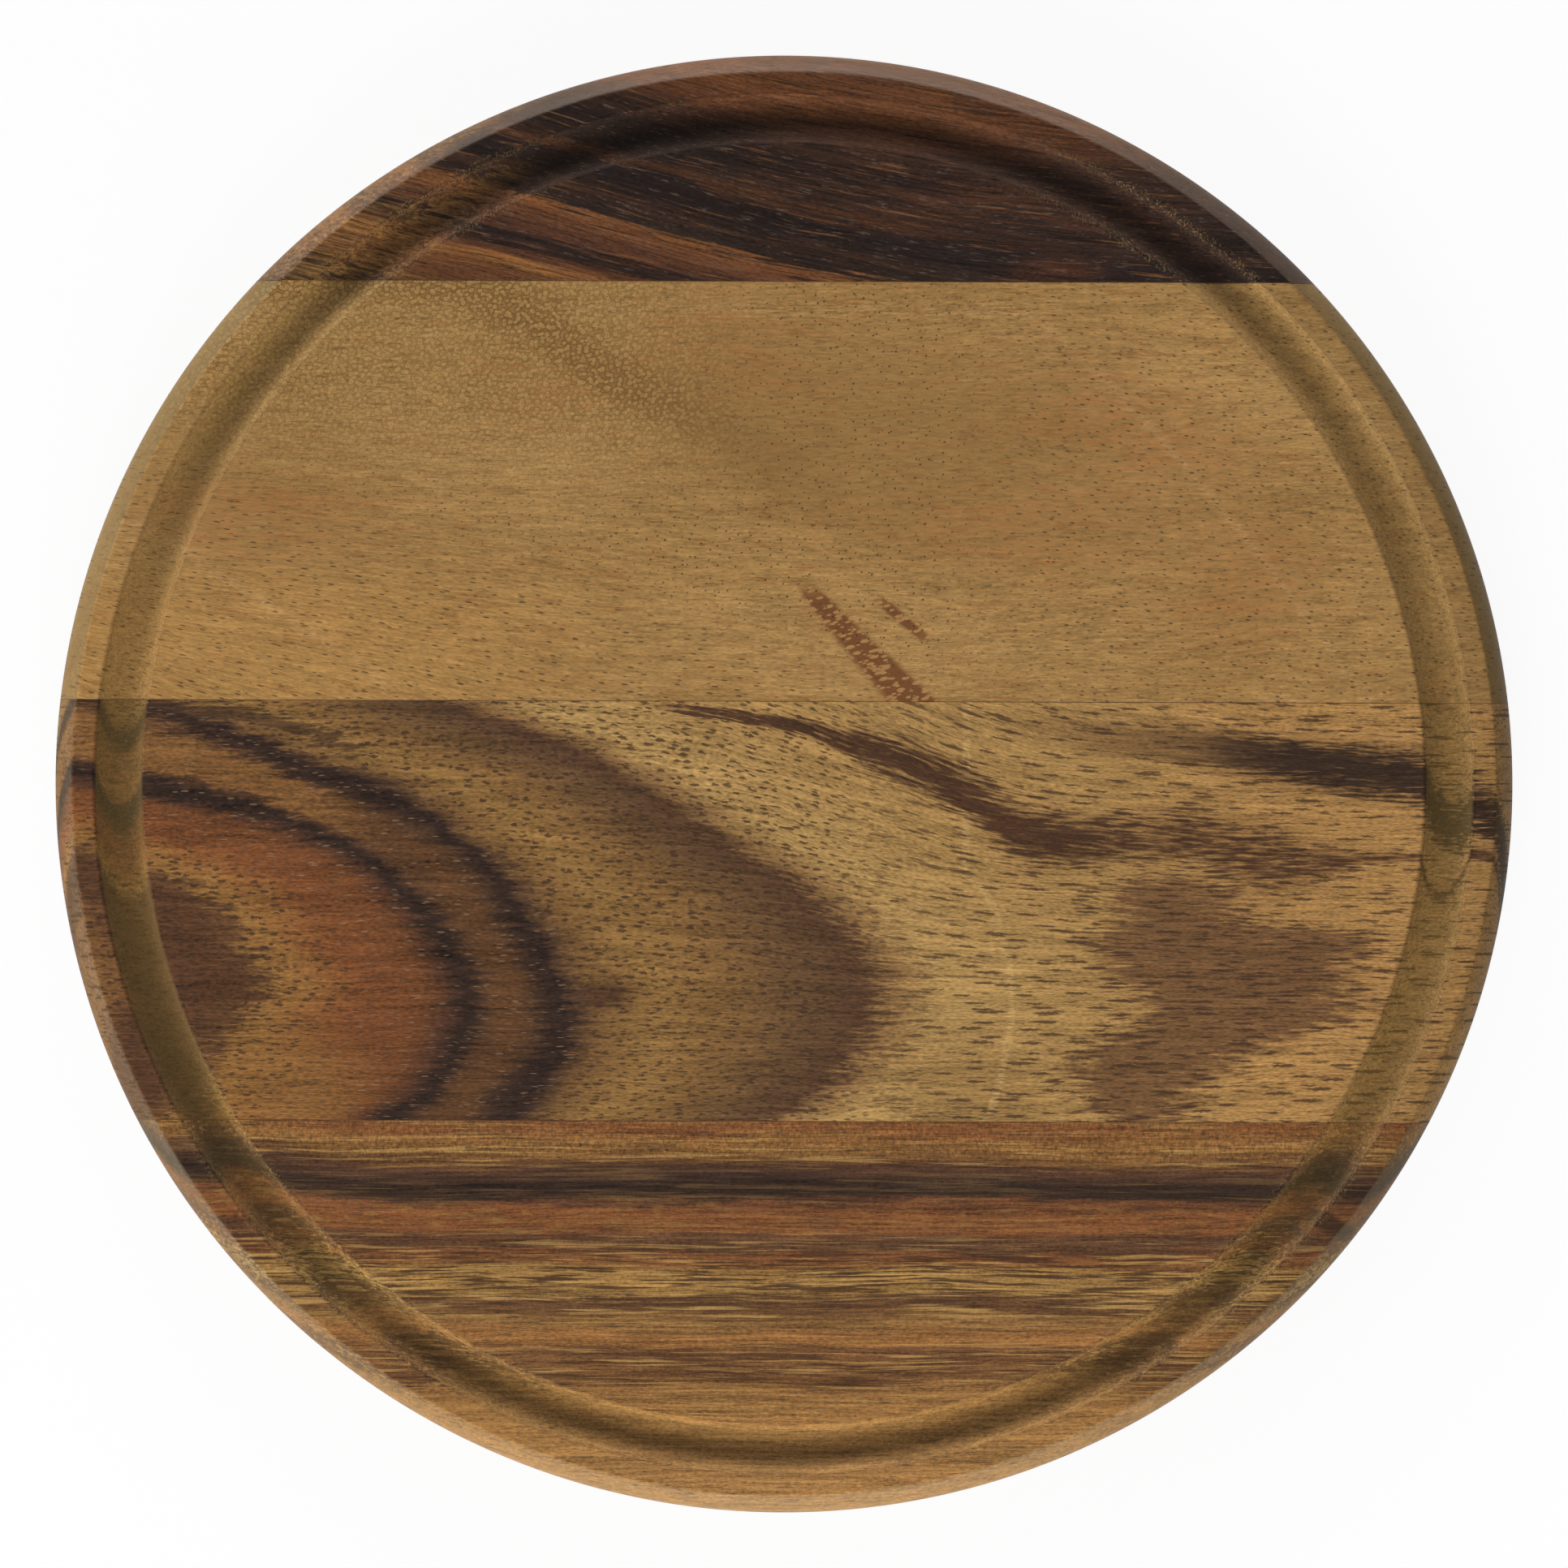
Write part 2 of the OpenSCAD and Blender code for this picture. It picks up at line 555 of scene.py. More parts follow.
def dark_heartwood():
    wood = Wood("oiled_dark_heartwood")
    sway = noise(wood.face, (60, 14, 14), shift=3)
    level = wood.y - curve(wood.x, STREAK_FALL) + sway * 0.8
    grain = spot_of(wood.x, level, wood.z)
    fibre = fibres(grain)
    ragged = noise(grain, (20, 0.9, 0.9), detail=3.0, rough=0.65, shift=9)
    colour = ramp(level + ragged * 1.9, DARK_LAYERS)
    colour = blend(colour, "#2a1f1b", smooth(wood.x, 15, 50) * smooth(wood.y, 150, 130) * 0.7)
    red_right = patch(wood.face, (46, 127), (44, 6), tilt=-5, soft=0.9) * smooth(ragged, -0.6, 0.5)
    colour = blend(colour, "#4b2e1e", red_right * 0.9)
    red_spot = patch(wood.face, (59, 112.5), (9, 2.5), soft=0.8)
    colour = blend(colour, "#4a2b1c", red_spot * 0.8)
    slanted = wood.x - arithmetic("MINIMUM", wood.depth, groove_depth / MM) * 8
    golden_end = smooth(slanted, -72, -100) * smooth(ragged, -0.5, 0.6)
    colour = blend(colour, "#8c6634", golden_end * 0.75)
    colour = blend(colour, "#8a5a2d", lines(grain, (15, 0.6, 0.6), 0.45, shift=14) * 0.4)
    colour = blend(colour, "#1f1613", lines(grain, (18, 0.65, 0.65), 0.2, shift=17) * 0.65)
    colour = tone(colour, 1 + fibre * 0.7)
    flecks = vessels(grain, (4.2, 0.7, 0.7), 0.34)
    colour = blend(colour, "#5e4d40", flecks * smooth(fibre, -0.1, 0.6) * 0.6)
    # Dark groove: partly its own tone, partly painted shade. The rim gets a lighter painted sheen.
    return oiled(wood, colour, fibre, flecks, groove="#33261c", groove_and_shade_share=0.2, rim=0.22, rim_painted_tone=DARK_RIM_PAINTED_SHEEN)


dark = dark_heartwood()

# %% [markdown]
# ## The pale stave
# The second stave is golden sapwood with hardly any layers, so clouds and patches make its broad
# changes of tone. What one notices is small: open vessels that lean with the grain, pale rings round
# them at the upper left, and two nets of red-brown flecks low in the middle.

# %% Tones of the pale stave
LEFT_PALE_LINE = ((-140, 56), (-131.8, 50.4), (-113.5, 38.7), (-82, 19), (-70, 12))
RIGHT_PALE_LINE = ((50, 104), (58.6, 98.6), (88.7, 68.6), (127.8, 19.1), (135, 10))
WARM_PATCHES = (
    ((-48, 85), (15, 6)), ((-63, 93), (7, 2)), ((-33, 92), (7, 2.5)), ((-18, 97), (14, 10)),
    ((0, 88), (11, 3.5)), ((66, 83), (16, 10)), ((56, 56), (24, 8)), ((102, 45), (14, 13)),
    ((84, 74), (16, 10)), ((-118, 48), (20, 9)), ((-112, 58), (22, 5)),
)


def pale_tone(wood, grain, fibre):
    """The broad changes of tone, before any vessels."""
    drift = noise(wood.face, (60, 26, 26), detail=3.0, shift=5)
    colour = ramp(drift, ((-1, "#906d3d"), (0, "#9b7745"), (1, "#a6814d")))
    golden = smooth(wood.x, -20, -90) * smooth(wood.y, 55, 35)
    colour = blend(colour, "#a67d46", golden * 0.8)
    streaky = smooth(fibre, -0.4, 0.5)
    brown = patch(grain, (24, 76), (48, 18), tilt=-12, soft=0.8)
    colour = blend(colour, "#77562e", brown * streaky * 0.65)
    for centre, half in WARM_PATCHES:
        colour = blend(colour, "#925f33", patch(grain, centre, half, soft=0.9) * streaky * 0.6)
    for points in (LEFT_PALE_LINE, RIGHT_PALE_LINE):
        colour = blend(colour, "#b08a5c", streak(wood.x, wood.y, points, 1.4, soft=0.8) * streaky * 0.35)
    warm = lines(grain, (9, 1.5, 1.5), 0.15, shift=46)
    colour = blend(colour, "#8f5e33", warm * 0.3)
    weave = noise(grain, (2.6, 0.45, 0.45), detail=2.0, rough=0.6, shift=44)
    return tone(colour, 1 + fibre * 0.4 + weave * 0.25)


print(len(WARM_PATCHES), "warm patches lie on the pale stave")

# %% Rings of the pale stave
SHADE_LINE = ((-80, 112), (-58, 104), (-42, 92), (-24, 82), (-12, 75), (4, 67), (20, 58))


def ringed_part(wood):
    """1 at the upper left of the stave, where the vessels have pale rings."""
    return smooth(wood.x, 5, -40) * smooth(wood.y + wood.x * 0.1, 48, 78)


def pale_rings(wood, grain_y, colour):
    """Pale rings with a dark pinhole, at the upper left, and a darker net between them."""
    shade = streak(wood.x, grain_y, SHADE_LINE, 5.5, soft=0.8) * smooth(wood.x, 22, -5)
    upper_left = ringed_part(wood)
    distance, kind = cells(wood.face, (1.35, 1.15, 1), shift=4, tilt=20, upright=True)
    wavy = distance + noise(wood.face, (0.9, 0.6, 5), shift=12) * 0.2
    ringed = smooth(wavy, 0.48, 0.16)
    outline = smooth(wavy, 0.8, 0.5) * (1 - ringed)
    colour = blend(colour, "#77562c", shade * 0.35)
    shade = shade * smooth(wood.x, 5, -45)
    cover = arithmetic("MAXIMUM", upper_left, shade)
    colour = blend(colour, "#674922", outline * (upper_left * 0.42 + shade * 0.36))
    colour = blend(colour, "#b5925a", ringed * cover * 0.48)
    pinhole = smooth(distance, 0.13, 0.07) * smooth(kind, 0.2, 0.6)
    return blend(colour, "#3f2c15", pinhole * cover * 0.75)


print("the shade across the rings falls by", SHADE_LINE[0][1] - SHADE_LINE[-1][1], "mm")

# %% Nets and vessels of the pale stave
NET_LINE = ((10, 36), (19, 27.5), (31, 16), (42, 6), (50, 0))
SMALL_NET_LINE = ((26, 40), (32, 31), (36, 26), (42, 19), (46, 14))


def red_nets(wood, colour):
    """Two slanting bands of red-brown wood with pale lenses in it."""
    wide = streak(wood.y, wood.x, NET_LINE, 2.5 + (42 - wood.y) * 0.13, soft=0.3) * smooth(wood.y, 46, 40)
    small = streak(wood.y, wood.x, SMALL_NET_LINE, 1.8, soft=0.5) * patch(wood.face, (26, 36), (9, 6))
    lenses = vessels(wood.face, (1.9, 0.75, 0.75), 0.5, shift=6, tilt=12)
    cover = arithmetic("MAXIMUM", wide, small)
    colour = blend(colour, "#693f22", (1 - lenses) * cover * 0.9)
    return blend(colour, "#a5794a", lenses * cover * 0.7)


def pale_pores(wood, grain):
    """Open vessels: leaning up in the middle, down at the lower left, level at the right."""
    low_left = smooth(wood.y + wood.x * 0.3, 40, 22)
    right = smooth(wood.x, 30, 60)
    middle = vessels(grain, (2.4, 1.9, 1), 0.105, shift=1, tilt=28, upright=True)
    falling = vessels(grain, (6, 1.5, 1), 0.115, shift=2, tilt=-3, upright=True)
    level = vessels(grain, (4.2, 1.4, 1), 0.112, shift=3, tilt=-10, upright=True)
    left = middle * (1 - ringed_part(wood)) * (1 - low_left) + falling * low_left
    return left * (1 - right) + level * right


print("the pale stave has two nets, and vessels that lean in three ways")

# %% Pale sapwood
PALE_FALL = ((-160, 26), (-100, 12), (-50, 3), (-10, 0), (160, 0))


def pale_sapwood():
    wood = Wood("oiled_pale_sapwood")
    fall = curve(wood.x, PALE_FALL) * share(wood.y, 80, 25)
    grain_y = wood.y - fall + noise(wood.face, (70, 30, 30), shift=8) * 1.5
    grain = spot_of(wood.x, grain_y, wood.z)
    fibre = fibres(grain, 7)
    pores = pale_pores(wood, grain)
    colour = pale_tone(wood, grain, fibre)
    colour = pale_rings(wood, grain_y, colour)
    colour = red_nets(wood, colour)
    colour = blend(colour, "#3a2713", pores * 0.75)
    return oiled(wood, colour, fibre, pores, groove_and_shade_share=0.3, rim=0.6)


pale = pale_sapwood()

# %% [markdown]
# ## The figured stave
# The third stave was sawn where the tree bent, so its growth layers open into arches. Wavy rings or
# a noise would give arches too, but not these. So six of them are drawn as curves that give x for a
# y, read off a picture of the real board. Between two neighbouring arches a Field counts from one
# whole number to the next, and the colours of the layers are a ramp over that count. The layers
# slant through the stave, so deeper wood is looked up higher.

# %% Arches of the figured stave
PATCH_EDGE = (
    (-80, -146), (-67, -129), (-60, -125), (-52, -120), (-44.5, -112.5), (-38, -118), (-31, -121),
    (-24, -129), (-18, -142), (0, -210), (60, -420),
)
FIRST_BAND_IN = (
    (-80, -100), (-73, -89.5), (-66, -80), (-57, -75.5), (-48, -73), (-38, -75.5), (-28.5, -82.5),
    (-19, -92), (-12, -106), (-7, -120), (-3, -140), (10, -200), (60, -400),
)
FIRST_BAND_OUT = (
    (-80, -88), (-73, -80), (-67, -74), (-60, -69), (-52, -65.5), (-45, -66), (-35, -70),
    (-26, -77), (-17.5, -87), (-10.5, -99), (-5, -113), (-0.5, -127), (2.5, -140), (12, -200),
    (60, -380),
)
SECOND_BAND_IN = (
    (-80, -75), (-73, -66), (-66, -61.5), (-59, -55), (-52, -53), (-43.5, -55), (-32.5, -60.5),
    (-21.5, -66), (-10.5, -78.5), (-4, -92), (0.5, -104), (9, -124), (15, -140), (25, -200),
    (60, -330),
)
SECOND_BAND_OUT = (
    (-80, -64), (-73, -56), (-69, -52), (-63, -48), (-55, -45.7), (-46, -46.8), (-37, -51),
    (-27, -55.7), (-19, -62), (-10, -73), (0.5, -88), (5, -102), (11.5, -120), (17.5, -140),
    (30, -200), (60, -300),
)
BROWN_ARCH = (
    (-80, -20), (-68, 6), (-58, 15), (-46, 19), (-36, 15.5), (-25, 6), (-13, -13), (0, -33),
    (11, -55), (20, -80), (60, -190),
)
ARCHES = (PATCH_EDGE, FIRST_BAND_IN, FIRST_BAND_OUT, SECOND_BAND_IN, SECOND_BAND_OUT, BROWN_ARCH)
ARCH_LAYERS = (
    (0, "#7d5831"), (0.35, "#75502d"), (0.52, "#573925"), (0.82, "#563822"), (0.97, "#5d3f27"),
    (1.1, "#8c6434"), (1.3, "#83562d"), (1.5, "#784827"), (1.85, "#6d4224"), (2, "#4a3022"),
    (2.35, "#30221b"), (2.7, "#32241d"), (3, "#4e3422"), (3.2, "#5a3c23"), (3.6, "#5d3d23"),
    (3.85, "#513722"), (4, "#432e21"), (4.35, "#32231c"), (4.75, "#2f211c"), (5, "#4b3424"),
    (5.08, "#73532f"), (5.28, "#8a6738"), (5.5, "#7c5a32"), (5.72, "#664a2d"), (5.88, "#593f29"),
    (5.99, "#533926"), (6.1, "#86643c"), (6.3, "#a8854f"), (7, "#a07c48"),
)
OUTER_LAYER_W = 50


def arch_layer(along, across):
    """Counts up by one from arch to arch."""
    edges = [curve(across, points) for points in ARCHES]
    layer = share(along, edges[0] - OUTER_LAYER_W, edges[0])
    for edge, following in zip(edges, edges[1:]):
        layer = layer + share(along, edge, following)
    return layer + share(along, edges[-1], edges[-1] + OUTER_LAYER_W)


print(len(ARCHES), "arches part", len(ARCHES) + 1, "layers")

# %% [markdown]
# ## Streaks and flames
# At the right, two dark streaks and a brown patch with flame-shaped ends lie over the arches. A
# streak is a curve with a width that changes along it, and the flames fill the room between two
# curves. On the real board their edges break up into dark vessels. So each cover is a soft one, and
# a noise of dashes along the grain decides where along its edge it takes hold.

# %% Streaks and flames of the figured stave
FIRST_STREAK = (
    (-40, 19), (-12, 14.7), (2, 12.6), (9, 10.5), (16, 8.4), (23, 6.2), (34, 1.6), (43.5, -4.5),
    (52, -9.8), (65, -11.6), (87, -11.2), (98, -14.6), (109, -16.9), (126, -15.5),
)
FIRST_STREAK_HALF = (
    (-40, 0.7), (-12, 1.2), (6, 2), (20, 3.2), (36, 4.5), (57, 5.5), (85, 6), (97, 7.2), (116, 4.2),
    (126, 1.2),
)
SECOND_STREAK = (
    (30, 16), (49, 14.1), (71, 11), (85, 9.7), (98, 7.5), (112, 5.1), (126, 3.7), (141, 1.7),
    (153, -6), (165, -12),
)
SECOND_STREAK_HALF = ((30, 1), (49, 2.2), (71, 3.6), (98, 4.3), (126, 5.3), (165, 6))
SEAM_STREAK = ((-150, 18.6), (-140, 17), (-116, 14.2), (-95, 8.8), (-80, 3))
FLAME_LEFT = (
    (-80, 72), (-73, 69.5), (-67, 64.7), (-61.6, 62.7), (-56, 72.3), (-49, 77.8), (-44, 73.7),
    (-38, 68.2), (-33.4, 67.5), (-30, 72.3), (-22, 69.5), (-17, 80),
)
FLAME_RIGHT = (
    (-80, 82), (-73, 86.7), (-67, 91.5), (-61.6, 99.8), (-56, 110.8), (-52.6, 120.4), (-49, 126),
    (-44, 124.5), (-38, 127.3), (-33.4, 129), (-30, 104), (-22, 97), (-17, 86),
)


def frayed(cover, dashes, reach=0.4):
    """A soft patch that breaks up into dashes along its edge, more so the greater the reach."""
    return smooth(cover + dashes * reach, 0.2, 0.4 + reach)


def dark_figure(along, across, dashes, colour):
    """Two dark streaks that cross the upper right of the stave, and the brown flames below them."""
    left, right = curve(across, FLAME_LEFT), curve(across, FLAME_RIGHT)
    flames = share(along, left - 9, left + 9) * share(along, right + 12, right - 12)
    flames = flames * smooth(across, -16, -24)
    colour = blend(colour, "#63442b", frayed(flames, dashes) * 0.85)
    colour = blend(colour, "#4a3122", flames * smooth(dashes, 0.1, 0.7) * 0.55)
    first = streak(along, across, FIRST_STREAK, curve(along, FIRST_STREAK_HALF), soft=0.9)
    first = first * smooth(along, -38, -15) * (1 - smooth(along, 50, 80) * 0.3)
    colour = blend(colour, "#6b492c", first * 0.6)
    colour = blend(colour, "#432a1d", frayed(first, dashes, 0.5) * 0.92)
    second = streak(along, across, SECOND_STREAK, curve(along, SECOND_STREAK_HALF), soft=0.9)
    second = second * smooth(along, 38, 75)
    core = smooth(along, 72, 108)
    colour = blend(colour, "#64452b", second * 0.65)
    colour = blend(colour, "#2b1e18", frayed(second, dashes, 0.5) * core * 0.94)
    seam = streak(along, across, SEAM_STREAK, 1.5, soft=0.8) * smooth(along, -84, -100)
    return blend(colour, "#3a281e", frayed(seam, dashes) * 0.7)


print("the streaks run from x", FIRST_STREAK[0][0], "to", SECOND_STREAK[-1][0], "mm")

# %% Layers and vessels of the figured stave
PALE_ARC = ((-76, 43), (-60, 48.5), (-46, 50), (-33, 48), (-20, 40))


def arch_colours(wood, layer, across, comb):
    """The layers of the arches, and the spots that lie across them."""
    colour = ramp(layer, ARCH_LAYERS)
    golden_right = smooth(wood.x, 60, 115)
    colour = blend(colour, "#a37945", golden_right * 0.8)
    golden_left = smooth(layer, 2.95, 3.2) * smooth(layer, 4.05, 3.8) * smooth(wood.x, -86, -106)
    colour = blend(colour, "#835a30", golden_left * 0.8)
    low_gold = patch(wood.face, (-109, -68), (15, 12), soft=0.7)
    low_gold = low_gold * smooth(layer, 1, 1.1) * smooth(layer, 2, 1.8)
    colour = blend(colour, "#875f31", low_gold * 0.75)
    small_tongue = patch(wood.face, (-40, -46.5), (7, 2.6), soft=0.9)
    colour = blend(colour, "#4a3122", smooth(small_tongue + comb * 0.3, 0.2, 0.8) * 0.8)
    low_pale = patch(wood.face, (39, -66), (15, 10), soft=0.8)
    colour = blend(colour, "#86663a", low_pale * 0.6)
    return blend(colour, "#bd9a62", streak(across, wood.x, PALE_ARC, 0.8) * 0.35)


def figured_pores(wood, grain, flow, comb, dashes):
    """Open vessels: dots at the left, and long dashes along the grain at the right."""
    uneven_y = flow + noise(grain, (1.1, 0.35, 0.35), shift=50) * 0.2
    uneven = spot_of(wood.x + comb * 0.9, uneven_y, wood.z)
    dots = vessels(uneven, (4, 0.92, 1), 0.24, shift=9, upright=True)
    lenses = vessels(uneven, (14, 1.6, 1), 0.2, shift=19, upright=True)
    threads = arithmetic("MAXIMUM", lenses, smooth(dashes, 0.3, 0.7) * 0.6)
    long_ones = smooth(wood.x, 5, 40)
    return dots * (1 - long_ones) + threads * long_ones


print(len(ARCH_LAYERS), "colours follow each other along the arches")

# %% Figured wood
GRAIN_FALL = ((-60, 18), (-20, 15), (20, 5), (55, -7), (90, -11), (130, -13))


def figured_wood():
    wood = Wood("oiled_figured_wood")
    flow = wood.y - curve(wood.x, GRAIN_FALL) * share(wood.y, -50, 12)
    grain = spot_of(wood.x, flow + noise(wood.face, (30, 12, 12), shift=5) * 0.8, wood.z)
    fibre = fibres(grain)
    comb = noise(grain, (14, 0.8, 0.8), detail=3.0, rough=0.7, shift=2)
    dashes = noise(grain, (4.8, 0.62, 0.62), rough=0.55, shift=4)
    across = wood.y + wood.depth * 2.8 + noise(wood.face, (40, 18, 18), shift=6) * 0.8
    loose = smooth(wood.x, -30, 10) + smooth(wood.x, -95, -115)
    layer = arch_layer(wood.x + comb * 3.6 + dashes * loose * 6, across)
    colour = arch_colours(wood, layer, across, comb)
    colour = dark_figure(wood.x + comb * 7, across + comb * 0.9, dashes, colour)
    colour = tone(colour, 1 + fibre * 0.65)
    pores = figured_pores(wood, grain, flow, comb, dashes)
    silver = smooth(layer, 1.3, 1.6) * smooth(layer, 5.06, 5.0)
    colour = blend(colour, "#3f2918", pores * (1 - silver * 0.6) * 0.82)
    bright = vessels(grain, (3.8, 0.5, 0.5), 0.22, shift=7)
    colour = blend(colour, "#9a7c60", bright * silver * 0.4)
    return oiled(wood, colour, fibre, pores, groove_and_shade_share=0.5, rim=0.25)


figured = figured_wood()

# %% [markdown]
# ## The striped stave
# The front stave was sawn square to the growth layers, so they show as straight stripes along the
# grain. One ramp across the stave is enough, shaken a little so that no stripe is ruled. Two curves
# say where the stripes are made of many fine dark or golden lines. Rays of the wood cross them as
# short ticks, gold mottles the red band, and a small knot sits at the right end.

# %% Stripes
STRIPES = (
    (-165, "#9e7443"), (-150, "#9c7140"), (-138, "#976c3b"), (-132.5, "#8a6236"),
    (-130.5, "#684628"), (-127, "#77522f"), (-124.5, "#66442a"), (-122.8, "#956737"),
    (-120, "#906236"), (-118.5, "#8a6538"), (-116, "#6d4c2c"), (-113, "#60422a"),
    (-111.8, "#8f6c3b"), (-106.5, "#926d3c"), (-105, "#7a512d"), (-102.5, "#75492a"),
    (-101.2, "#5a3e29"), (-99.2, "#61412a"), (-97.5, "#7a4c29"), (-93.6, "#7c4c2a"),
    (-91.6, "#5a3a26"), (-89.8, "#36271d"), (-88.6, "#2d211a"), (-87, "#3d2b21"), (-84, "#533726"),
    (-81.4, "#7d572e"), (-78, "#8a6033"), (-76, "#7a4d2a"), (-70, "#774c29"),
)
DARK_LINES = (
    (-165, 0.15), (-136, 0.25), (-128, 0.8), (-122, 0.35), (-113, 0.75), (-106, 0.95), (-102, 0.6),
    (-97, 0.35), (-90, 0.3), (-82, 0.4), (-76, 0.3), (-70, 0.3),
)
GOLD_LINES = (
    (-165, 0.1), (-133, 0.3), (-127, 0.6), (-121, 0.3), (-114, 0.7), (-105, 0.6), (-101, 0.45),
    (-95, 0.15), (-86, 0.12), (-81, 0.5), (-76, 0.3), (-70, 0.2),
)
print(len(STRIPES), "colours follow each other across the striped stave")

# %% Striped wood
def striped_wood():
    wood = Wood("oiled_striped_wood")
    sway = noise(wood.face, (80, 16, 16), shift=4)
    lean = smooth(wood.x, -80, -150) * -5
    across = wood.y + lean - wood.depth * 1.2 + sway * 0.9
    grain = spot_of(wood.x, wood.y + sway * 0.9, wood.z)
    fibre = fibres(grain, 18)
    ragged = noise(grain, (45, 1.1, 1.1), detail=3.0, rough=0.65, shift=7)
    frayed_edge = noise(grain, (9, 0.7, 0.7), detail=3.0, rough=0.65, shift=27)
    colour = ramp(across + ragged * 2.0 + frayed_edge * 1.3, STRIPES)
    colour = tone(colour, 1 + fibre * 0.7)
    gold = lines(grain, (24, 0.62, 0.62), 0.15, shift=11) * curve(across, GOLD_LINES)
    colour = blend(colour, "#c29a58", gold * 0.9)
    dark_ones = lines(grain, (15, 0.62, 0.62), 0.0, shift=3) * curve(across, DARK_LINES)
    colour = blend(colour, "#40291b", dark_ones * 0.95)
    mottle = noise(grain, (5, 1.3, 1.3), detail=3.0, rough=0.6, shift=31)
    red_band = smooth(across, -98, -96) * smooth(across, -91, -93)
    golden = smooth(mottle, 0.1, 0.7) * (0.42 + smooth(wood.x, -40, -95) * 0.4)
    colour = blend(colour, "#8f6a38", red_band * golden)
    ticks = noise(grain, (0.45, 0.8, 0.8), detail=2.0, rough=0.6, shift=21)
    colour = tone(colour, 1 + ticks * (0.18 + smooth(across, -83, -81) * 0.3))
    knot = patch(wood.face, (120, -96), (5.5, 2.4), tilt=-25, soft=0.8)
    colour = blend(colour, "#30221a", smooth(knot + frayed_edge * 0.3, 0.2, 0.8) * 0.8)
    pores = lines(grain, (6, 0.55, 0.55), 0.45, shift=17)
    colour = blend(colour, "#38271c", pores * 0.6)
    # The striped rim gets a grey painted sheen
    return oiled(wood, colour, fibre, pores, groove_and_shade_share=0.3, rim=0.38, rim_painted_tone=GREY_RIM_PAINTED_SHEEN)


striped = striped_wood()

# %% [markdown]
# ## Wood on the staves
# The part's record names the wood of each stave. The drawn staves carry the same names, so that
# whoever uses the part can find a wood again and change it.

# %% Put the woods on the staves
for node, material in zip(STAVES, (dark, pale, figured, striped)):
    staves[node].data.materials.append(material)
    print(node, "is made of", material.name)

# %% [markdown]
# ## The glue lines
# The glue itself is a film a few hairs thick, so all one sees is a fine brown line. The CAD pieces
# have the right shape and stay; they only get a material, slightly cloudy as cured glue is.

# %% Cured glue
GLUE_LINES = ("dark_pale_glue_line", "pale_figured_glue_line", "figured_striped_glue_line")
glue = bpy.data.materials.new("cloudy_glue")
glue.use_nodes = True
glue_tree = glue.node_tree
glue_spot = add_node(glue_tree, "VectorMath", {"Scale": 1 / MM}, operation="SCALE")
glue_tree.links.new(add_node(glue_tree, "TexCoord", {}).outputs["Object"], glue_spot.inputs[0])
cloud = noise(Field(glue_spot.outputs[0]), (9, 2, 2), detail=3.0)
glue_shader = glue_tree.nodes["Principled BSDF"]
glue_bump = add_node(glue_tree, "Bump", {"Height": cloud, "Strength": 0.2, "Distance": 0.05 * MM})
glue_tint = ramp(cloud, ((-1, "#3a2416"), (1, "#5c3d24")))
glue_tree.links.new(glue_tint.socket, glue_shader.inputs["Base Color"])
glue_tree.links.new((0.45 + cloud * 0.05).socket, glue_shader.inputs["Roughness"])
glue_tree.links.new(glue_bump.outputs[0], glue_shader.inputs["Normal"])
for node in GLUE_LINES:
    line_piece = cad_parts[node]
    for place in line_piece.material_slots:
        place.material = glue
    print(node, "keeps its CAD shape")

# %% [markdown]
# ## The table top
# The board lies on a white table. A surface that is only lit would come out grey and uneven, so most
# of what the camera sees of it is set to white by the Light Path node. The rest is lit and takes the
# board's faint shadow. Reflections show a part of that white, and to all other light the table is
# grey, so that little is thrown up under the rim. It is a ring, open under the board and unseen from
# below, so that the underside can be looked at.

# %% Table top
FLOOR_R = 6.0
FLOOR_DROP = 0.02 * MM
HOLE_MARGIN = 2 * MM
FLOOR_STEPS = 180
floor_z = cad_box[0].z - FLOOR_DROP


def floor_ring(radius):
    """Points round the middle of the table top."""
    turns = [2 * math.pi * step / FLOOR_STEPS for step in range(FLOOR_STEPS)]
    return [(radius * math.cos(turn), radius * math.sin(turn), floor_z) for turn in turns]


floor_mesh = bpy.data.meshes.new("table_top")
rings = floor_ring(face_r - HOLE_MARGIN) + floor_ring(FLOOR_R)
following = [(step, (step + 1) % FLOOR_STEPS) for step in range(FLOOR_STEPS)]
floor_mesh.from_pydata(rings, [], [(a, a + FLOOR_STEPS, b + FLOOR_STEPS, b) for a, b in following])
table_top = bpy.data.objects.new("table_top", floor_mesh)
bpy.context.collection.objects.link(table_top)
print("the table top is", 2 * FLOOR_R, "m wide")

# %% White of the table
FLOOR_GREY = 0.25
SEEN_GREY = 0.9
SEEN_WHITE = 0.92
MIRRORED_WHITE = 0.4
WHITE = (1, 1, 1, 1)
white_table = bpy.data.materials.new("white_table")
white_table.use_nodes = True
table_tree = white_table.node_tree
table_tree.nodes.clear()
rays = add_node(table_tree, "LightPath", {}).outputs
mirrored = Field(rays["Is Glossy Ray"]) + Field(rays["Is Transmission Ray"])
seen = Field(rays["Is Camera Ray"]) * SEEN_WHITE + mirrored * MIRRORED_WHITE
grey = Field(rays["Is Camera Ray"]) * (SEEN_GREY - FLOOR_GREY) + FLOOR_GREY
lit = add_node(table_tree, "BsdfDiffuse", {"Color": grey})
plain = add_node(table_tree, "Emission", {"Color": WHITE, "Strength": 1.0})
both = add_node(table_tree, "MixShader", {0: arithmetic("MINIMUM", seen, 1)})
table_tree.links.new(lit.outputs[0], both.inputs[1])
table_tree.links.new(plain.outputs[0], both.inputs[2])
from_below = Field(add_node(table_tree, "NewGeometry", {}).outputs["Backfacing"])
one_way = add_node(table_tree, "MixShader", {0: from_below})
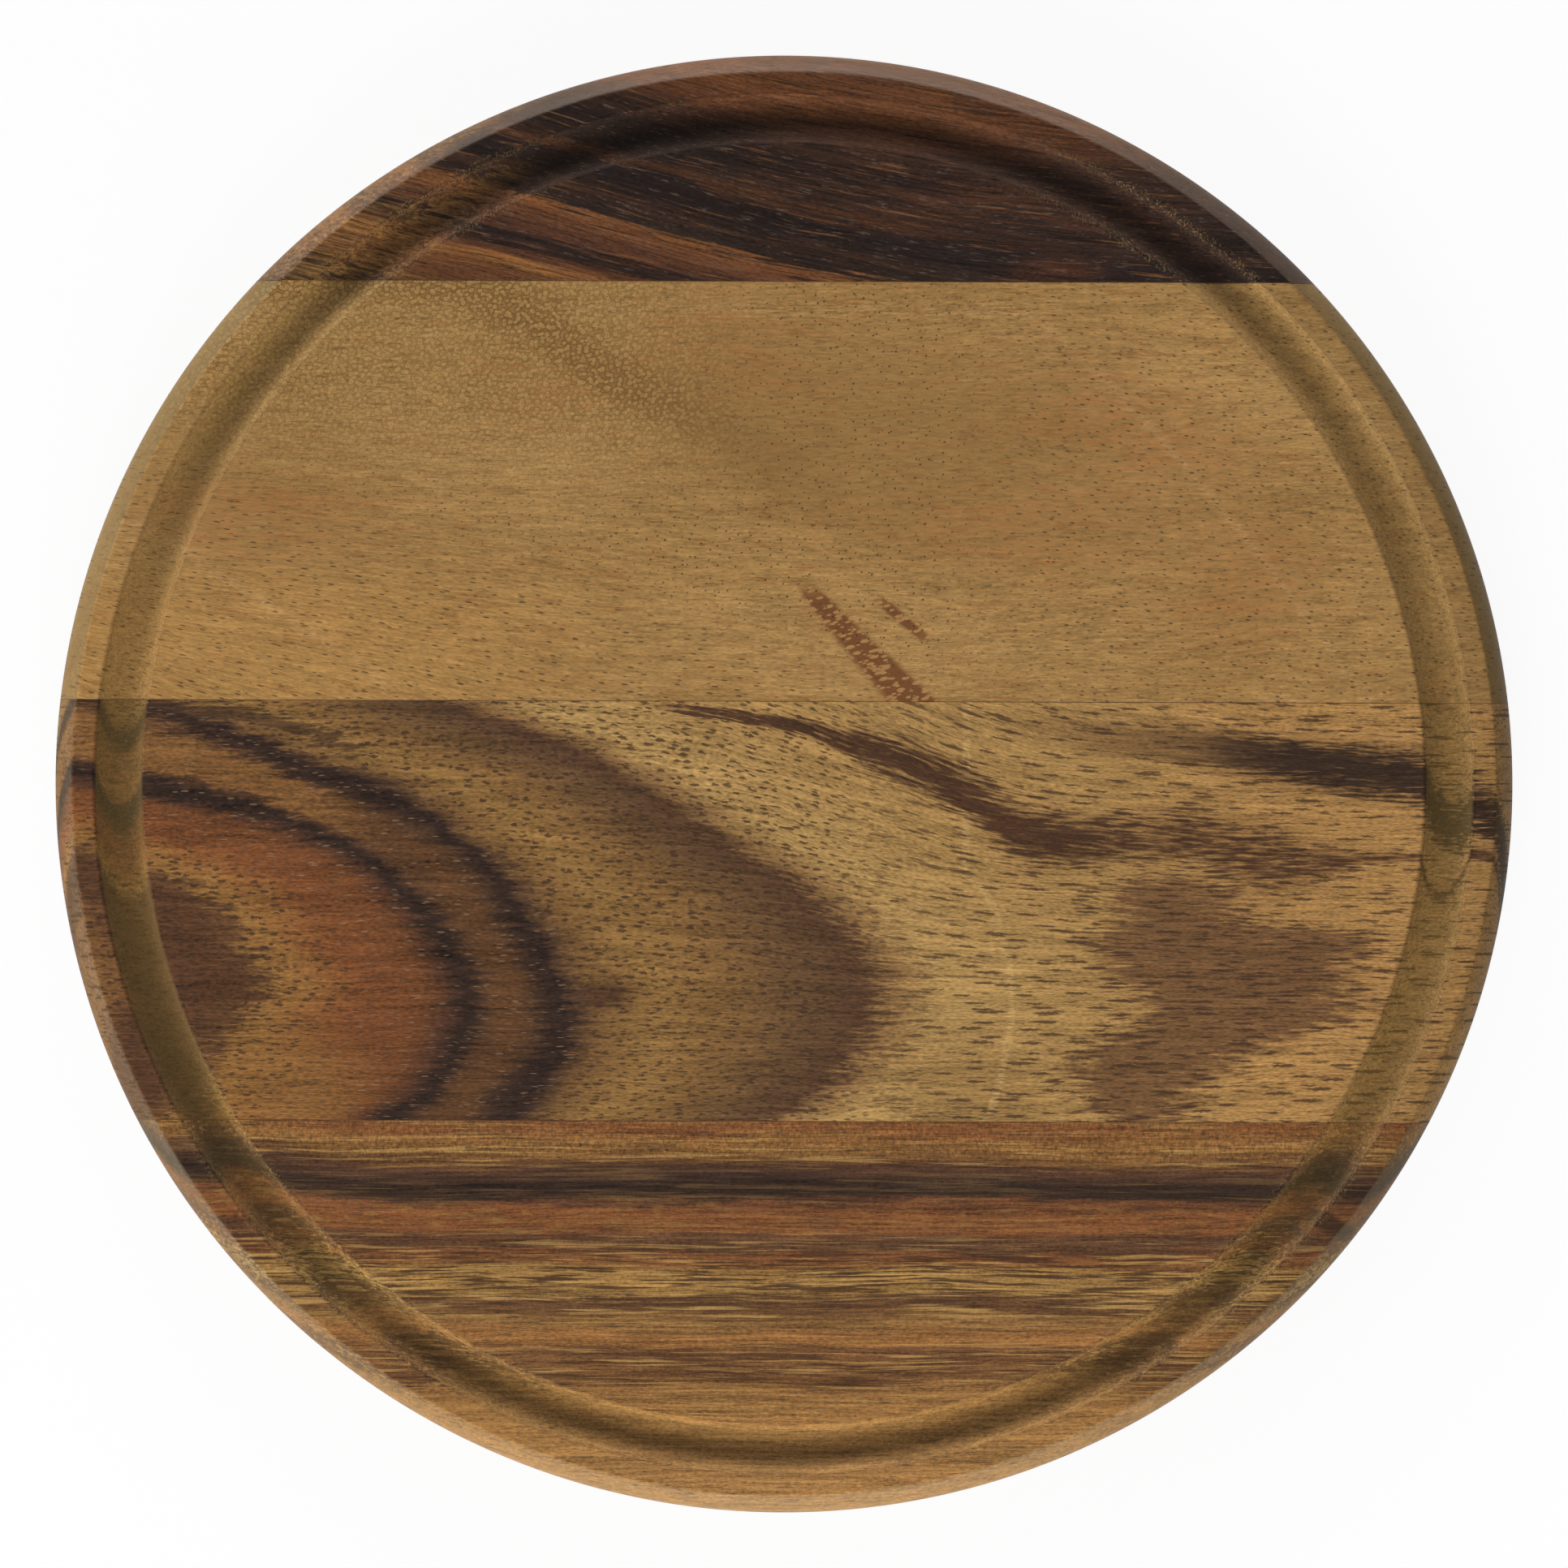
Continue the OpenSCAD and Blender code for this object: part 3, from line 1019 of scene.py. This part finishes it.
table_tree.links.new(both.outputs[0], one_way.inputs[1])
table_tree.links.new(add_node(table_tree, "BsdfTransparent", {}).outputs[0], one_way.inputs[2])
table_tree.links.new(one_way.outputs[0], add_node(table_tree, "OutputMaterial", {}).inputs[0])
floor_mesh.materials.append(white_table)
print("the camera sees", SEEN_WHITE, "of the table as plain white")

# %% [markdown]
# ## Light
# The light comes from low down, so it models the groove and the rim and leaves the face even. The
# world gives most of it, as soft bright walls at the left, the front and the back, a narrow window at
# the left and a dim ceiling, with the right side dark. A large lamp low at the front adds to it. Seen
# from low down, an oiled face would mirror these walls as plain white. So both the world and the lamp
# are hidden from reflections, and the oil gets something of its own to mirror in the next step.

# %% Light from all round
OVERHEAD = 0.16
LEFT_WALL = 1.9
FRONT_WALL = 2.0
BACK_WALL = 12.5
BACK_TOP = 0.5
WALL_TOP = 0.6
RIGHT_EDGE = 0.66
WINDOW = 7.0
WINDOW_AZIMUTH = math.radians(203)
WINDOW_TOP = 0.4
# Where a wall begins and is at its full strength, from -1 on one side to 1 on the other
WALL_SPAN = (-0.1, -0.9)
BACK_SPAN = (0.42, 0.96)
WINDOW_SPAN = (0.92, 0.985)
RIGHT_FADE = 0.5


def low_part(up, top):
    """1 near the table, fading out towards a height."""
    return smooth(up, top, top / 3)


world = bpy.data.worlds.new("studio")
bpy.context.scene.world = world
world.use_nodes = True
room_tree = world.node_tree
room_tree.nodes.clear()
direction = Field(add_node(room_tree, "TexCoord", {}).outputs["Generated"])
facing = add_node(room_tree, "SeparateXYZ", {0: direction})
east, north, up = (Field(axis) for axis in facing.outputs)
open_side = smooth(east, RIGHT_EDGE, RIGHT_EDGE - RIGHT_FADE)
left = smooth(east, *WALL_SPAN) * low_part(up, WALL_TOP)
front = smooth(north, *WALL_SPAN) * low_part(up, WALL_TOP) * open_side
back = smooth(north, *BACK_SPAN) * low_part(up, BACK_TOP) * open_side
window_side = east * math.cos(WINDOW_AZIMUTH) + north * math.sin(WINDOW_AZIMUTH)
window = smooth(window_side, *WINDOW_SPAN) * low_part(up, WINDOW_TOP)
glow = OVERHEAD + left * LEFT_WALL + front * FRONT_WALL + back * BACK_WALL + window * WINDOW
looked_at = Field(add_node(room_tree, "LightPath", {}).outputs["Is Camera Ray"])
glow = looked_at + (1 - looked_at) * glow
room = add_node(room_tree, "Background", {"Color": WHITE, "Strength": glow})
room_tree.links.new(room.outputs[0], add_node(room_tree, "OutputWorld", {}).inputs[0])
world.cycles_visibility.glossy = False
print("the room takes", len(room_tree.nodes), "nodes")

# %% The lamp
KEY_AZIMUTH = math.radians(266)
KEY_ELEVATION = math.radians(18)
KEY_DISTANCE = 2.6
KEY_SIZE = 1.4
KEY_POWER = 85
key = bpy.data.lights.new("key", "AREA")
key.size = KEY_SIZE
key.energy = KEY_POWER
key_lamp = bpy.data.objects.new("key", key)
flat = math.cos(KEY_ELEVATION)
towards = Vector((flat * math.cos(KEY_AZIMUTH), flat * math.sin(KEY_AZIMUTH), math.sin(KEY_ELEVATION)))
key_lamp.location = towards * KEY_DISTANCE
key_lamp.rotation_euler = towards.to_track_quat("Z", "Y").to_euler()
key_lamp.visible_glossy = False
bpy.context.collection.objects.link(key_lamp)
print("the lamp gives", key.energy, "W from", KEY_DISTANCE, "m")

# %% [markdown]
# ## A tent for the oil to mirror
# Shiny things are often pictured inside a tent of white cloth, so that they mirror nothing else. This
# sphere is such a tent: dim overhead, brighter near the table and weaker at the right, with three low
# strips that put the highlights on the rim. It is hidden from the camera, from diffuse rays and from
# shadows, so it changes nothing but the reflections.

# %% The tent
TENT_R = 5.0
tent_shape = bmesh.new()
bmesh.ops.create_uvsphere(tent_shape, u_segments=48, v_segments=24, radius=TENT_R)
tent_mesh = bpy.data.meshes.new("tent")
tent_shape.to_mesh(tent_mesh)
tent_shape.free()
tent = bpy.data.objects.new("tent", tent_mesh)
bpy.context.collection.objects.link(tent)
tent.visible_camera = False
tent.visible_diffuse = False
tent.visible_shadow = False
print("the tent is", 2 * TENT_R, "m wide and shows in reflections alone")

# %% The cloth of the tent
CLOTH_SIDE = 0.8
CLOTH_TOP = 0.16
CLOTH_SPAN = (0.85, 0.2)
DIM_SPAN = (0.2, 0.8)
DIM_SHARE = 0.6
STRIP_TOP = 0.16
STRIP_SPAN = (0.75, 0.96)
# The direction of each strip in degrees, and how bright it is
STRIPS = ((88, 7.0), (200, 6.0), (290, 6.0))
cloth = bpy.data.materials.new("tent_cloth")
cloth.use_nodes = True
cloth_tree = cloth.node_tree
cloth_tree.nodes.clear()
place = Field(add_node(cloth_tree, "TexCoord", {}).outputs["Object"])
hung = add_node(cloth_tree, "SeparateXYZ", {0: place})
east, north, up = (Field(axis) / TENT_R for axis in hung.outputs)
gleam = CLOTH_TOP + smooth(up, *CLOTH_SPAN) * (CLOTH_SIDE - CLOTH_TOP)
gleam = gleam * (1 - smooth(east, *DIM_SPAN) * DIM_SHARE)
for azimuth, strength in STRIPS:
    turn = math.radians(azimuth)
    strip = smooth(east * math.cos(turn) + north * math.sin(turn), *STRIP_SPAN)
    gleam = gleam + strip * smooth(up, STRIP_TOP, STRIP_TOP / 2) * strength
shine = add_node(cloth_tree, "Emission", {"Color": WHITE, "Strength": gleam})
cloth_tree.links.new(shine.outputs[0], add_node(cloth_tree, "OutputMaterial", {}).inputs[0])
tent_mesh.materials.append(cloth)
print("the cloth has", len(STRIPS), "bright strips")

# %% [markdown]
# ## Camera
# The board is seen from straight above. A long lens, three metres up, keeps the rim from leaning
# outwards, and a slight roll turns the glue lines as they lie on the picture. The Standard view
# transform shows each colour as it is written.

# %% Camera
CAMERA_HEIGHT = 3.0
FRAME_W = 343.5 * MM
CAMERA_ROLL = math.radians(0.17)
lens = bpy.data.cameras.new("overhead")
lens.lens = lens.sensor_width * CAMERA_HEIGHT / FRAME_W
lens.clip_end = 100
overhead = bpy.data.objects.new("overhead", lens)
overhead.location = (0, 0, cad_box[1].z + CAMERA_HEIGHT)
overhead.rotation_euler = (0, 0, CAMERA_ROLL)
bpy.context.collection.objects.link(overhead)
bpy.context.scene.camera = overhead
bpy.context.scene.view_settings.view_transform = "Standard"
print("the lens is", round(lens.lens), "mm long")
